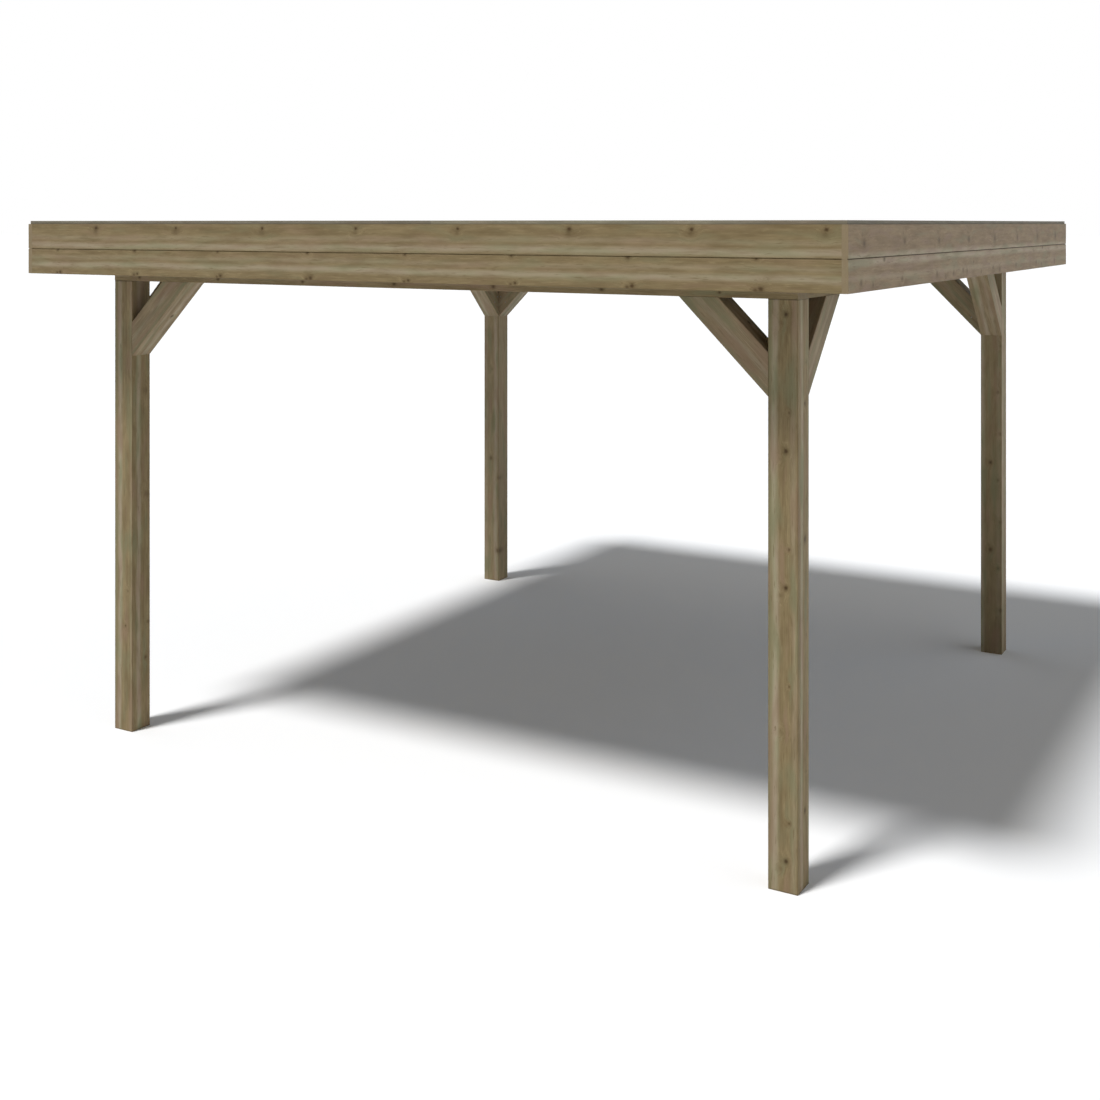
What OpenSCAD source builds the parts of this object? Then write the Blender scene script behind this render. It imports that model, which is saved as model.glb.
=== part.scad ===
// Flat-roofed garden pergola in planed softwood.
// Four posts and eight knee braces carry a ring beam, a joisted flat roof lies on the
// ring beam, and a two-board fascia under a mitred cap closes its edge.
// The origin is at ground level under the middle of the roof. X runs along the longer
// side, the front faces -Y, and Z is up. Millimetres.

/* [Plan] */
// Length over the outer faces of the posts, left to right
span_x = 3585; // [3000:5:4200]
// Depth over the outer faces of the posts, front to back
span_y = 3565; // [3000:5:4200]
// Distance from the posts' outer faces to the face of the fascia
overhang = 288; // [200:1:400]

/* [Posts and braces] */
// Side of the square posts, which is also the width of beams and braces
post_w = 120; // [90:5:150]
// Height of the posts, which is the clear height under the ring beam
post_h = 2240; // [2000:5:2600]
// Depth of a brace, across its slope
brace_d = 120; // [70:5:140]
// Length of a brace's outer edge along the post and along the beam
brace_reach = 372; // [300:1:700]
// Chamfer on the long edges of the planed timbers
ease = 2; // [1:0.5:8]

/* [Roof frame] */
// Height of the ring beam
beam_h = 120; // [90:5:160]
// Width of rafters, lookouts and rim joists
joist_w = 45; // [32:1:60]
// Height of rafters and lookouts
joist_h = 120; // [90:5:135]
// Thickness of the roof boards
deck_t = 18; // [15:1:22]
// Visible width of one roof board
deck_board = 120; // [90:5:200]
// Depth of the V joint between roof boards, seen from below
deck_v = 4; // [2:0.5:6]
// Thickness of the roof sheet
sheet_t = 2; // [1:0.5:4]

/* [Fascia] */
// Height from the post tops to the lower edge of the fascia
fascia_lift = 40; // [20:5:80]
// Height that one fascia board covers
board_cover = 121.5; // [115:0.5:150]
// Thickness of the fascia boards
board_t = 24; // [16:1:28]
// Height of the shadow groove between the two boards
groove_h = 3.5; // [3:0.5:8]
// Depth of the shadow groove, from the face to the tongue
groove_d = 5; // [4:0.5:8]
// Height of the tongue
tongue_h = 8; // [5:0.5:12]
// Thickness of the tongue
tongue_t = 6; // [4:0.5:8]
// Gap between the tongue and its groove
tongue_play = 0.25; // [0.1:0.05:0.5]

/* [Cap] */
// Width of the cap boards
cap_w = 70; // [66:1:110]
// Thickness of the cap boards
cap_t = 15; // [12:1:25]
// Distance that the cap stands back from the fascia's face
cap_inset = 7; // [3:1:12]

/* [Hidden] */

pine = [0.52, 0.47, 0.36];
pine_dark = [0.44, 0.40, 0.31];
rubber = [0.16, 0.16, 0.17];

// Rafters between the two side beams, and bays that they and the lookouts divide
rafters = 5;
bays = rafters + 1;
bay_x = (span_x - post_w) / bays;
bay_y = (span_y - post_w) / bays;

// Roof outline at the faces of the fascia
roof_x = span_x + 2 * overhang;
roof_y = span_y + 2 * overhang;

// Levels from the ground up
beam_top = post_h + beam_h;
joist_top = beam_top + joist_h;
deck_top = joist_top + deck_t;
fascia_z = post_h + fascia_lift;
fascia_top = fascia_z + 2 * board_cover;

// Space between the rim joists, which the deck and the sheet fill
tray_x = roof_x - 2 * (board_t + joist_w);
tray_y = roof_y - 2 * (board_t + joist_w);

// Half of the front boards' length. They fit between the side boards, which run through
board_half_x = roof_x / 2 - board_t;

// Overcut that carries a cutting shape past the face that it cuts
past = 10;

// Section of a planed timber: a w by h rectangle with chamfered corners, from the origin
module planed_section(w, h) {
    polygon([
        [ease, 0], [w - ease, 0], [w, ease], [w, h - ease],
        [w - ease, h], [ease, h], [0, h - ease], [0, ease]
    ]);
}

// Timber along +X: w wide in Y from 0, h high in Z from 0
module timber_x(length, w, h) {
    rotate([90, 0, 90]) linear_extrude(length) planed_section(w, h);
}

// Timber along +Y: w wide in X from 0, h high in Z from 0
module timber_y(length, w, h) {
    translate([0, length, 0]) rotate([90, 0, 0]) linear_extrude(length) planed_section(w, h);
}

// Square post with its outer corner at the plan's corner. sx and sy are -1 or 1
module post(sx, sy) {
    color(pine)
        translate([sx * (span_x - post_w) / 2, sy * (span_y - post_w) / 2, 0])
            linear_extrude(post_h)
                translate([-post_w / 2, -post_w / 2]) planed_section(post_w, post_w);
}

// Knee brace at 45 degrees in the XZ plane. Its post face is at x = 0, its beam face at
// z = 0, and it fills y from 0 to post_w. Both ends are cut to lie flat on their timber
module brace() {
    intersection() {
        translate([0, 0, -brace_reach])
            rotate([0, -45, 0])
                translate([-past * brace_d / 2, 0, 0])
                    timber_x(brace_reach * 2 + past * brace_d, post_w, brace_d);
        translate([0, 0, -brace_reach]) cube([brace_reach, post_w, brace_reach]);
    }
}

// Brace under the front or back beam, flush with the posts' outer faces
module brace_along_x(sx, sy) {
    color(pine)
        mirror([sx > 0 ? 1 : 0, 0, 0]) mirror([0, sy > 0 ? 1 : 0, 0])
            translate([post_w - span_x / 2, -span_y / 2, post_h]) brace();
}

// Brace under the left or right beam, flush with the posts' outer faces
module brace_along_y(sx, sy) {
    color(pine)
        mirror([sx > 0 ? 1 : 0, 0, 0]) mirror([0, sy > 0 ? 1 : 0, 0])
            translate([-span_x / 2, post_w - span_y / 2, post_h])
                mirror([1, -1, 0]) brace();
}

// Ring beam along X. Its lower half runs through at the corners, and its upper half
// stops short there to take the half of the side beam
module beam_along_x(sy) {
    color(pine)
        translate([-span_x / 2, sy * (span_y - post_w) / 2 - post_w / 2, post_h])
            difference() {
                timber_x(span_x, post_w, beam_h);
                for (x = [-past, span_x - post_w])
                    translate([x, -past, beam_h / 2])
                        cube([post_w + past, post_w + 2 * past, beam_h]);
            }
}

// Ring beam along Y, halved the other way over the front and back beams
module beam_along_y(sx) {
    color(pine)
        translate([sx * (span_x - post_w) / 2 - post_w / 2, -span_y / 2, post_h])
            difference() {
                timber_y(span_y, post_w, beam_h);
                for (y = [-past, span_y - post_w])
                    translate([-past, y, -beam_h / 2])
                        cube([post_w + 2 * past, post_w + past, beam_h]);
            }
}

// Rafter number i, from the front rim joist to the back one over both beams
module rafter(i) {
    color(pine_dark)
        translate([-(span_x - post_w) / 2 + i * bay_x - joist_w / 2, -tray_y / 2, beam_top])
            timber_y(tray_y, joist_w, joist_h);
}

// Lookouts from the outermost rafter across the side beam to the side rim joist
module lookouts(sx) {
    inner = (span_x - post_w) / 2 - bay_x + joist_w / 2;
    color(pine_dark)
        mirror([sx > 0 ? 1 : 0, 0, 0])
            for (i = [0 : bays])
                translate([
                    -tray_x / 2,
                    -(span_y - post_w) / 2 + i * bay_y - joist_w / 2,
                    beam_top
                ])
                    timber_x(tray_x / 2 - inner, joist_w, joist_h);
}

// Front or back rim joist, from side board to side board. It stands above the deck as
// the upstand that the cap lies on
module rim_along_x(sy) {
    color(pine_dark)
        translate([
            -board_half_x,
            sy > 0 ? tray_y / 2 : -tray_y / 2 - joist_w,
            beam_top
        ])
            timber_x(2 * board_half_x, joist_w, fascia_top - beam_top);
}

// Left or right rim joist, between the front and back ones
module rim_along_y(sx) {
    color(pine_dark)
        translate([
            sx > 0 ? tray_x / 2 : -tray_x / 2 - joist_w,
            -tray_y / 2,
            beam_top
        ])
            timber_y(tray_y, joist_w, fascia_top - beam_top);
}

// Roof boards as one sheet, laid along X, with the V joints that show from below
module roof_deck() {
    joints = floor(tray_y / deck_board / 2);
    color(pine)
        translate([-tray_x / 2, 0, joist_top])
            rotate([90, 0, 90]) linear_extrude(tray_x)
                difference() {
                    translate([-tray_y / 2, 0]) square([tray_y, deck_t]);
                    for (i = [-joints : joints])
                        if (abs(i * deck_board) < tray_y / 2 - deck_v)
                            translate([i * deck_board, 0])
                                polygon([[-deck_v, -deck_v], [0, deck_v], [deck_v, -deck_v]]);
                }
}

// Rubber sheet over the deck
module roof_sheet() {
    color(rubber)
        translate([-tray_x / 2, -tray_y / 2, deck_top]) cube([tray_x, tray_y, sheet_t]);
}

// Section of the lower fascia board. x is depth from the face, y is height. The front
// shoulder is cut down for the shadow groove, and the tongue stands behind it
module lower_board_section() {
    polygon([
        [ease / 2, 0], [board_t, 0], [board_t, board_cover],
        [groove_d + tongue_t, board_cover], [groove_d + tongue_t, board_cover + tongue_h],
        [groove_d, board_cover + tongue_h], [groove_d, board_cover - groove_h / 2],
        [0, board_cover - groove_h / 2], [0, ease / 2]
    ]);
}

// Section of the upper fascia board, grooved over the tongue
module upper_board_section() {
    slot_front = groove_d - tongue_play;
    slot_back = groove_d + tongue_t + tongue_play;
    slot_top = tongue_h + tongue_play;
    polygon([
        [slot_back, 0], [board_t, 0], [board_t, board_cover], [0, board_cover],
        [0, groove_h / 2], [slot_front, groove_h / 2], [slot_front, slot_top],
        [slot_back, slot_top]
    ]);
}

// Places a board section along X at the front or back face, between the side boards
module fascia_along_x(sy, level) {
    color(pine)
        mirror([0, sy > 0 ? 1 : 0, 0])
            translate([-board_half_x, -roof_y / 2, fascia_z + level * board_cover])
                rotate([90, 0, 90]) linear_extrude(2 * board_half_x) children();
}

// Places a board section along Y at the left or right face. The ends of the boards show
// on the front and back faces, cut flush with them
module fascia_along_y(sx, level) {
    color(pine)
        mirror([sx > 0 ? 1 : 0, 0, 0])
            translate([-roof_x / 2, roof_y / 2, fascia_z + level * board_cover])
                rotate([90, 0, 0]) linear_extrude(roof_y) children();
}

// Cap board of one side, from -half to half along X with its outer edge at y = 0. The
// top edges are eased and both ends are mitred
module cap_board(half) {
    round_off = ease / 2;
    intersection() {
        translate([-half, 0, 0])
            rotate([90, 0, 90]) linear_extrude(2 * half)
                polygon([
                    [0, 0], [cap_w, 0], [cap_w, cap_t - round_off],
                    [cap_w - round_off, cap_t], [round_off, cap_t],
                    [0, cap_t - round_off]
                ]);
        translate([0, 0, -past]) linear_extrude(cap_t + 2 * past)
            polygon([[-half, 0], [half, 0], [half - cap_w, cap_w], [cap_w - half, cap_w]]);
    }
}

// Cap of the front or back side
module cap_along_x(sy) {
    color(pine_dark)
        mirror([0, sy > 0 ? 1 : 0, 0])
            translate([0, cap_inset - roof_y / 2, fascia_top])
                cap_board(roof_x / 2 - cap_inset);
}

// Cap of the left or right side
module cap_along_y(sx) {
    color(pine_dark)
        mirror([sx > 0 ? 1 : 0, 0, 0])
            translate([cap_inset - roof_x / 2, 0, fascia_top])
                mirror([1, -1, 0]) cap_board(roof_y / 2 - cap_inset);
}

// Posts
post(-1, -1);  // post_front_left
post(1, -1);  // post_front_right
post(-1, 1);  // post_back_left
post(1, 1);  // post_back_right

// Knee braces, named by the side that they stand in and then by their post
brace_along_x(-1, -1);  // brace_front_left
brace_along_x(1, -1);  // brace_front_right
brace_along_x(-1, 1);  // brace_back_left
brace_along_x(1, 1);  // brace_back_right
brace_along_y(-1, -1);  // brace_left_front
brace_along_y(-1, 1);  // brace_left_back
brace_along_y(1, -1);  // brace_right_front
brace_along_y(1, 1);  // brace_right_back

// Ring beam
beam_along_x(-1);  // beam_front
beam_along_x(1);  // beam_back
beam_along_y(-1);  // beam_left
beam_along_y(1);  // beam_right

// Roof frame
rafter(1);  // rafter_1
rafter(2);  // rafter_2
rafter(3);  // rafter_3
rafter(4);  // rafter_4
rafter(5);  // rafter_5
lookouts(-1);  // lookouts_left
lookouts(1);  // lookouts_right
rim_along_x(-1);  // rim_front
rim_along_x(1);  // rim_back
rim_along_y(-1);  // rim_left
rim_along_y(1);  // rim_right

// Roof surface
roof_deck();
roof_sheet();

// Fascia
fascia_along_x(-1, 0) lower_board_section();  // fascia_lower_front
fascia_along_x(1, 0) lower_board_section();  // fascia_lower_back
fascia_along_y(-1, 0) lower_board_section();  // fascia_lower_left
fascia_along_y(1, 0) lower_board_section();  // fascia_lower_right
fascia_along_x(-1, 1) upper_board_section();  // fascia_upper_front
fascia_along_x(1, 1) upper_board_section();  // fascia_upper_back
fascia_along_y(-1, 1) upper_board_section();  // fascia_upper_left
fascia_along_y(1, 1) upper_board_section();  // fascia_upper_right

// Cap
cap_along_x(-1);  // cap_front
cap_along_x(1);  // cap_back
cap_along_y(-1);  // cap_left
cap_along_y(1);  // cap_right
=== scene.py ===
"""Looks of the flat-roofed garden pergola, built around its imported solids."""

import math

import bpy
import numpy as np
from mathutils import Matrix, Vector


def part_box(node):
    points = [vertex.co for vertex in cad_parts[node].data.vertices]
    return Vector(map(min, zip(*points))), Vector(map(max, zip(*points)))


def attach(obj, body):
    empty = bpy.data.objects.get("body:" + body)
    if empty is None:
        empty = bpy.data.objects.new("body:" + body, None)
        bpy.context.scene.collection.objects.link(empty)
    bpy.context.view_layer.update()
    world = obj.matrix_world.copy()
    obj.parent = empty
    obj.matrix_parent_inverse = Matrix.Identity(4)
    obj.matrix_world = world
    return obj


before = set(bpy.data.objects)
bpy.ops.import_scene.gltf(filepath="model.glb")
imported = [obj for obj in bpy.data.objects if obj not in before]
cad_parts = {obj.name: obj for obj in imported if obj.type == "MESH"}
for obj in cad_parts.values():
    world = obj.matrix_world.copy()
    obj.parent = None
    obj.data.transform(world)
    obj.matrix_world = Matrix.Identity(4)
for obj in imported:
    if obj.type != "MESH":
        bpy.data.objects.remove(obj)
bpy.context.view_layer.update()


# -------------------------------- posts
# Four square posts of planed, pressure-treated pine, 120 mm a side, with eased long
# edges. Each is one length of timber with its own grain, knots and pale sapwood bands.
# They stand straight on the ground, and the ring beam lies on their tops.

NUMBER, VECTOR, COLOUR = "NodeSocketFloat", "NodeSocketVector", "NodeSocketColor"


def start_group(name, wants, gives):
    """A shader node group. Each named input has a first value: a number, a vector of three or
    a colour of four. Outputs are numbers, apart from one named Colour."""
    group = bpy.data.node_groups.new(name, "ShaderNodeTree")
    for label, value in wants.items():
        kind = {3: VECTOR, 4: COLOUR}[len(value)] if isinstance(value, tuple) else NUMBER
        socket = group.interface.new_socket(label, in_out="INPUT", socket_type=kind)
        socket.default_value = value
    for label in gives:
        kind = COLOUR if label == "Colour" else NUMBER
        group.interface.new_socket(label, in_out="OUTPUT", socket_type=kind)
    inside = group.nodes.new("NodeGroupInput").outputs
    outside = group.nodes.new("NodeGroupOutput").inputs
    return group, inside, outside


def plug(tree, sockets, values):
    """Gives each socket its value, or a link where the value is another node's output."""
    for socket, value in zip(sockets, values):
        if isinstance(value, bpy.types.NodeSocket):
            tree.links.new(value, socket)
        elif value is not None:
            socket.default_value = value


def calc(tree, operation, *values):
    """One Math node."""
    node = tree.nodes.new("ShaderNodeMath")
    node.operation = operation
    plug(tree, node.inputs, values)
    return node.outputs[0]


def vector_calc(tree, operation, *values):
    """One Vector Math node. Length and dot product come out as numbers, the rest as vectors."""
    node = tree.nodes.new("ShaderNodeVectorMath")
    node.operation = operation
    plug(tree, node.inputs, values)
    return node.outputs["Value" if operation in ("LENGTH", "DOT_PRODUCT") else "Vector"]


def scaled(tree, vector, amount):
    """Vector times a number."""
    product = vector_calc(tree, "SCALE", vector)
    plug(tree, [product.node.inputs["Scale"]], [amount])
    return product


def split(tree, vector):
    """X, Y and Z of a vector."""
    node = tree.nodes.new("ShaderNodeSeparateXYZ")
    plug(tree, node.inputs, [vector])
    return node.outputs


def join(tree, *values):
    """A vector of up to three numbers."""
    node = tree.nodes.new("ShaderNodeCombineXYZ")
    plug(tree, node.inputs, values)
    return node.outputs[0]


def throw_dice(tree, value):
    """White noise of a number, as a number and as a colour."""
    node = tree.nodes.new("ShaderNodeTexWhiteNoise")
    node.noise_dimensions = "1D"
    plug(tree, [node.inputs["W"]], [value])
    return node.outputs


def fade(tree, value, start, stop, low=0.0, high=1.0):
    """Smooth step: low where value is at start, high where it is at stop."""
    node = tree.nodes.new("ShaderNodeMapRange")
    node.interpolation_type = "SMOOTHSTEP"
    plug(tree, node.inputs, (value, start, stop, low, high))
    return node.outputs[0]


def cloud(tree, place, stretch, detail=2.0, rough=0.55):
    """Noise of place times stretch, from 0 to 1 round 0.5."""
    node = tree.nodes.new("ShaderNodeTexNoise")
    plug(tree, [node.inputs["Vector"]], [vector_calc(tree, "MULTIPLY", place, stretch)])
    node.inputs["Scale"].default_value = 1.0
    node.inputs["Detail"].default_value = detail
    node.inputs["Roughness"].default_value = rough
    return node.outputs[0]


def blend(tree, amount, under, over, way="MIX", kind="RGBA"):
    """Over laid on under by amount. Both are colours, or of another kind."""
    first, second, out = {"FLOAT": (2, 3, 0), "VECTOR": (4, 5, 1), "RGBA": (6, 7, 2)}[kind]
    node = tree.nodes.new("ShaderNodeMix")
    node.data_type = kind
    node.blend_type = way
    plug(tree, (node.inputs[0], node.inputs[first], node.inputs[second]), (amount, under, over))
    return node.outputs[out]


def bell(tree, value, centre, width):
    """1 at centre, and falling smoothly to 0 at width to either side."""
    away = calc(tree, "ABSOLUTE", calc(tree, "SUBTRACT", value, centre))
    return fade(tree, calc(tree, "DIVIDE", away, width), 1.0, 0.0)


def knot_row_group():
    """A row of knots at one pitch along a timber. A knot is an ellipsoid about a point of the
    row: its core and its dark rim come from the distance to that point over the knot's size,
    made uneven by noise, and are scaled by the strength. The bend says how far the fibres
    round it are pushed aside."""
    t, has, out = start_group(
        "Row of knots",
        {"Position": (0, 0, 0), "First": 0, "Pitch": 0.5, "Seat": (0, 0, 0),
         "Shape": (1.2, 1, 1), "Size": 0.007, "Strength": 1, "Stray": 0, "Seed": 0},
        ("Core", "Rim", "Halo", "Bend"),
    )
    passed = calc(t, "SUBTRACT", split(t, has["Position"])[0], has["First"])
    count = calc(t, "ROUND", calc(t, "DIVIDE", passed, has["Pitch"]))
    dice = throw_dice(t, calc(t, "MULTIPLY_ADD", count, 7.31, has["Seed"]))
    drift = vector_calc(t, "SUBTRACT", dice["Color"], (0.5, 0.5, 0.5))
    drift = scaled(t, vector_calc(t, "MULTIPLY", drift, (0.5, 0.05, 0.05)), has["Stray"])
    place = join(t, calc(t, "MULTIPLY_ADD", count, has["Pitch"], has["First"]))
    place = vector_calc(t, "ADD", vector_calc(t, "ADD", place, has["Seat"]), drift)
    away = vector_calc(t, "SUBTRACT", has["Position"], place)
    away = vector_calc(t, "LENGTH", vector_calc(t, "DIVIDE", away, has["Shape"]))
    grown = calc(t, "MULTIPLY_ADD", dice["Value"], 0.5, 0.75)
    far = calc(t, "DIVIDE", away, calc(t, "MULTIPLY", grown, has["Size"]))
    ragged = cloud(t, has["Position"], (110.0, 160.0, 160.0), 2.0)
    far = calc(t, "MULTIPLY", far, calc(t, "MULTIPLY_ADD", ragged, 0.9, 0.55))
    plug(t, out, (
        calc(t, "MULTIPLY", fade(t, far, 1.35, 0.25), has["Strength"]),
        calc(t, "MULTIPLY", bell(t, far, 1.1, 1.0), has["Strength"]),
        calc(t, "MULTIPLY", fade(t, far, 3.4, 0.7), has["Strength"]),
        fade(t, far, 5.5, 0.0),
    ))
    return t


def pine_grain_group():
    """The fibres of one length of pine, from its position in the timber. Growth rings are the
    distance to an offset pith, made uneven by slow noise, over the ring width. Streaks, lanes,
    flecks, fibres and colour casts are noise drawn out along the timber, and all of them are
    carried aside where the fibres bend round a knot."""
    t, has, out = start_group(
        "Pine grain",
        {"Position": (0, 0, 0), "Seed": 0, "Bend": 0, "Pith": (0, 0.05, -0.12),
         "Ring width": 0.0045},
        ("Rings", "Streak", "Lane", "Fibre", "Cast", "Patch", "Fleck", "Sway"),
    )
    place = vector_calc(t, "ADD", has["Position"], scaled(t, (1.73, 0.31, 0.53), has["Seed"]))
    place = vector_calc(t, "ADD", place, scaled(t, (0.0, 0.011, 0.014), has["Bend"]))
    swing = cloud(t, place, (0.8, 4.5, 4.5), 2.0)
    sway = cloud(t, place, (6.0, 20.0, 20.0), 1.0)
    across = vector_calc(t, "MULTIPLY", has["Position"], (0, 1, 1))
    radius = vector_calc(t, "LENGTH", vector_calc(t, "SUBTRACT", across, has["Pith"]))
    radius = calc(t, "MULTIPLY_ADD", swing, 0.05, radius)
    radius = calc(t, "MULTIPLY_ADD", sway, 0.004, radius)
    radius = calc(t, "MULTIPLY_ADD", has["Bend"], 0.012, radius)
    ring = calc(t, "FRACT", calc(t, "DIVIDE", radius, has["Ring width"]))
    late = calc(t, "MULTIPLY", calc(t, "POWER", ring, 2.2), fade(t, ring, 1.0, 0.9))
    plug(t, out, (
        late,
        cloud(t, place, (5.0, 95.0, 95.0), 4.0, 0.58),
        cloud(t, place, (0.35, 30.0, 30.0), 1.0),
        cloud(t, place, (26.0, 900.0, 900.0), 2.0, 0.6),
        cloud(t, place, (4.2, 24.0, 24.0), 1.0),
        cloud(t, place, (7.0, 30.0, 30.0), 3.0, 0.55),
        cloud(t, place, (16.0, 165.0, 165.0), 2.0, 0.5),
        cloud(t, place, (1.6, 3.0, 3.0), 2.0, 0.5),
    ))
    return t


def timber_face_group():
    """Where a point lies on a squared timber of given half size. The face that it is on is the
    one whose share of the half size is largest, and across runs over that face. Edge and end
    are the distances to the long edge and to the sawn end."""
    t, has, out = start_group(
        "Face of a timber",
        {"Position": (0, 0, 0), "Half size": (1, 0.06, 0.06)},
        ("Across", "Turned", "Edge", "End"),
    )
    _, deep, high = split(t, has["Position"])
    reach = vector_calc(t, "ABSOLUTE", has["Position"])
    share = split(t, vector_calc(t, "DIVIDE", reach, has["Half size"]))
    turned = calc(t, "GREATER_THAN", share[2], share[1])
    room = split(t, vector_calc(t, "SUBTRACT", has["Half size"], reach))
    plug(t, out, (blend(t, turned, high, deep, kind="FLOAT"), turned,
                  calc(t, "ADD", room[1], room[2]), room[0]))
    return t


def pale_bands_group():
    """Long bands that follow the grain: a wide pale one of sapwood, a fainter one, and a thin
    reddish line. Each is a smooth hump across the face about its own middle, which sways
    slowly along the timber. Upright holds the middles on the upright faces, and Flat those on
    the level ones."""
    t, has, out = start_group(
        "Bands along a timber",
        {"Across": 0, "Turned": 0, "Sway": 0.5, "Upright": (1, 1, 1), "Flat": (1, 1, 1),
         "Olive side": 1},
        ("Pale", "Rose", "Olive"),
    )
    middles = blend(t, has["Turned"], has["Upright"], has["Flat"], kind="VECTOR")
    wide, narrow, red = split(t, middles)
    at = calc(t, "MULTIPLY_ADD", calc(t, "SUBTRACT", has["Sway"], 0.5), 0.026, has["Across"])
    faint = calc(t, "MULTIPLY", bell(t, at, narrow, 0.019), 0.42)
    olive = calc(t, "MULTIPLY", bell(t, at, has["Olive side"], 0.017),
                 calc(t, "SUBTRACT", 1.0, has["Turned"]))
    plug(t, out, (
        calc(t, "MAXIMUM", bell(t, at, wide, 0.023), faint),
        bell(t, at, red, 0.0075),
        olive,
    ))
    return t


def pine_board_group():
    """Colour, roughness and height of treated pine. Tone runs from dark to light by streaks,
    lanes, flecks and rings, pale sapwood lies over it in bands, green and pink casts of the
    treatment come next, and knots, darker long edges, dirt and painted contact shade near the
    ends, and the sawn ends are laid on last."""
    t, has, out = start_group(
        "Treated pine",
        {"Rings": 0, "Streak": 0.5, "Lane": 0.5, "Fibre": 0.5, "Cast": 0.5, "Patch": 0.5,
         "Fleck": 0.5, "Pale": 0, "Rose": 0, "Olive": 0, "Core": 0, "Rim": 0, "Halo": 0,
         "Edge": 1, "End": 1, "Treatment": 1, "Worn edge": 0.3, "Grimy end": 0,
         "Dark": (0.14, 0.1, 0.04, 1), "Light": (0.3, 0.23, 0.12, 1),
         "Sapwood": (0.38, 0.32, 0.2, 1), "Knot": (0.04, 0.02, 0.01, 1),
         "Green": (0.19, 0.19, 0.1, 1), "Pink": (0.25, 0.17, 0.1, 1),
         "Sawn": (0.23, 0.18, 0.1, 1)},
        ("Colour", "Roughness", "Height"),
    )
    tone = 0.58
    for label, share in (("Streak", 1.15), ("Lane", 0.45), ("Fibre", 0.35), ("Patch", 1.45)):
        tone = calc(t, "MULTIPLY_ADD", calc(t, "SUBTRACT", has[label], 0.5), share, tone)
    tone = calc(t, "MULTIPLY_ADD", has["Rings"], -0.30, tone)
    tone = calc(t, "MULTIPLY_ADD", fade(t, has["Fleck"], 0.40, 0.30), 0.35, tone)
    wood = blend(t, fade(t, tone, -0.35, 1.45), has["Dark"], has["Light"])
    pale = calc(t, "MULTIPLY", has["Pale"], fade(t, has["Streak"], 0.18, 0.55, 0.45, 1.0))
    pale = calc(t, "MULTIPLY", pale, fade(t, has["Patch"], 0.30, 0.60, 0.60, 1.0))
    shimmer = blend(t, fade(t, has["Cast"], 0.42, 0.62),
                    (0.335, 0.270, 0.215, 1), (0.270, 0.285, 0.185, 1))
    sapwood = blend(t, calc(t, "MULTIPLY", has["Treatment"], 0.45), has["Sapwood"], shimmer)
    wood = blend(t, pale, wood, sapwood)
    wood = blend(t, calc(t, "MULTIPLY", has["Olive"], 0.50), wood, has["Green"])
    wood = blend(t, calc(t, "MULTIPLY", has["Rose"], 0.12), wood, has["Pink"], "MULTIPLY")
    green = calc(t, "MULTIPLY", fade(t, has["Cast"], 0.52, 0.74, 0.0, 0.65), has["Treatment"])
    wood = blend(t, green, wood, has["Green"])
    pink = calc(t, "MULTIPLY", fade(t, has["Cast"], 0.47, 0.27, 0.0, 0.55), has["Treatment"])
    wood = blend(t, pink, wood, has["Pink"])
    wood = blend(t, fade(t, has["Fleck"], 0.60, 0.74, 0.0, 0.55), wood, has["Dark"])
    knot_layers = (("Halo", 0.35, "Dark"), ("Rim", 0.22, "Knot"), ("Core", 0.90, "Knot"))
    for part, share, colour in knot_layers:
        wood = blend(t, calc(t, "MULTIPLY", has[part], share), wood, has[colour])
    # Darker along the long edges, by an amount given for each timber.
    ragged = calc(t, "MULTIPLY_ADD", has["Patch"], 0.004, has["Edge"])
    worn = calc(t, "MULTIPLY", fade(t, ragged, 0.0085, 0.003), has["Worn edge"])
    wood = blend(t, worn, wood, has["Dark"])
    # Painted contact shade with some dirt: the timber darkens within a few millimetres of its sawn
    # ends, where a post meets the beam and the ground.
    end_dirt_and_shade_mask = calc(t, "MULTIPLY", fade(t, has["End"], 0.0055, 0.0015), has["Grimy end"])
    wood = blend(t, end_dirt_and_shade_mask, wood, (0.045, 0.033, 0.017, 1))
    sawn = calc(t, "MULTIPLY_ADD", has["Rings"], 0.45, -0.16)
    sawn = calc(t, "MULTIPLY_ADD", has["Fibre"], 0.40, sawn)
    sawn = blend(t, sawn, has["Sawn"], has["Dark"])
    wood = blend(t, fade(t, has["End"], 0.0007, 0.0003, 0.0, 0.8), wood, sawn)
    rough = calc(t, "MULTIPLY_ADD", has["Fibre"], 0.14, 0.55)
    rough = calc(t, "MULTIPLY_ADD", has["Core"], -0.12, rough)
    high = calc(t, "MULTIPLY", has["Rings"], 0.30)
    for label, share in (("Fibre", 0.45), ("Streak", 0.25), ("Core", 0.35)):
        high = calc(t, "MULTIPLY_ADD", has[label], share, high)
    plug(t, out, (wood, rough, high))
    return t


knot_row = knot_row_group()
pine_grain = pine_grain_group()
timber_face = timber_face_group()
pale_bands = pale_bands_group()
pine_board = pine_board_group()


def place_group(tree, group, **values):
    """One node group in a material. Underscores in a name stand for the spaces of a socket."""
    node = tree.nodes.new("ShaderNodeGroup")
    node.node_tree = group
    for label, value in values.items():
        plug(tree, [node.inputs[label.replace("_", " ")]], [value])
    return node.outputs


def timber_position(tree, centre, turn=0, tilt=0):
    """Position from the timber's centre, with X along its grain. Turn is its heading in plan
    and tilt its rise, in degrees."""
    place = tree.nodes.new("ShaderNodeTexCoord")
    own = tree.nodes.new("ShaderNodeMapping")
    own.vector_type = "TEXTURE"
    own.inputs["Location"].default_value = centre
    own.inputs["Rotation"].default_value = (0, -math.radians(tilt), math.radians(turn))
    tree.links.new(place.outputs["Object"], own.inputs["Vector"])
    return own.outputs[0]


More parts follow.
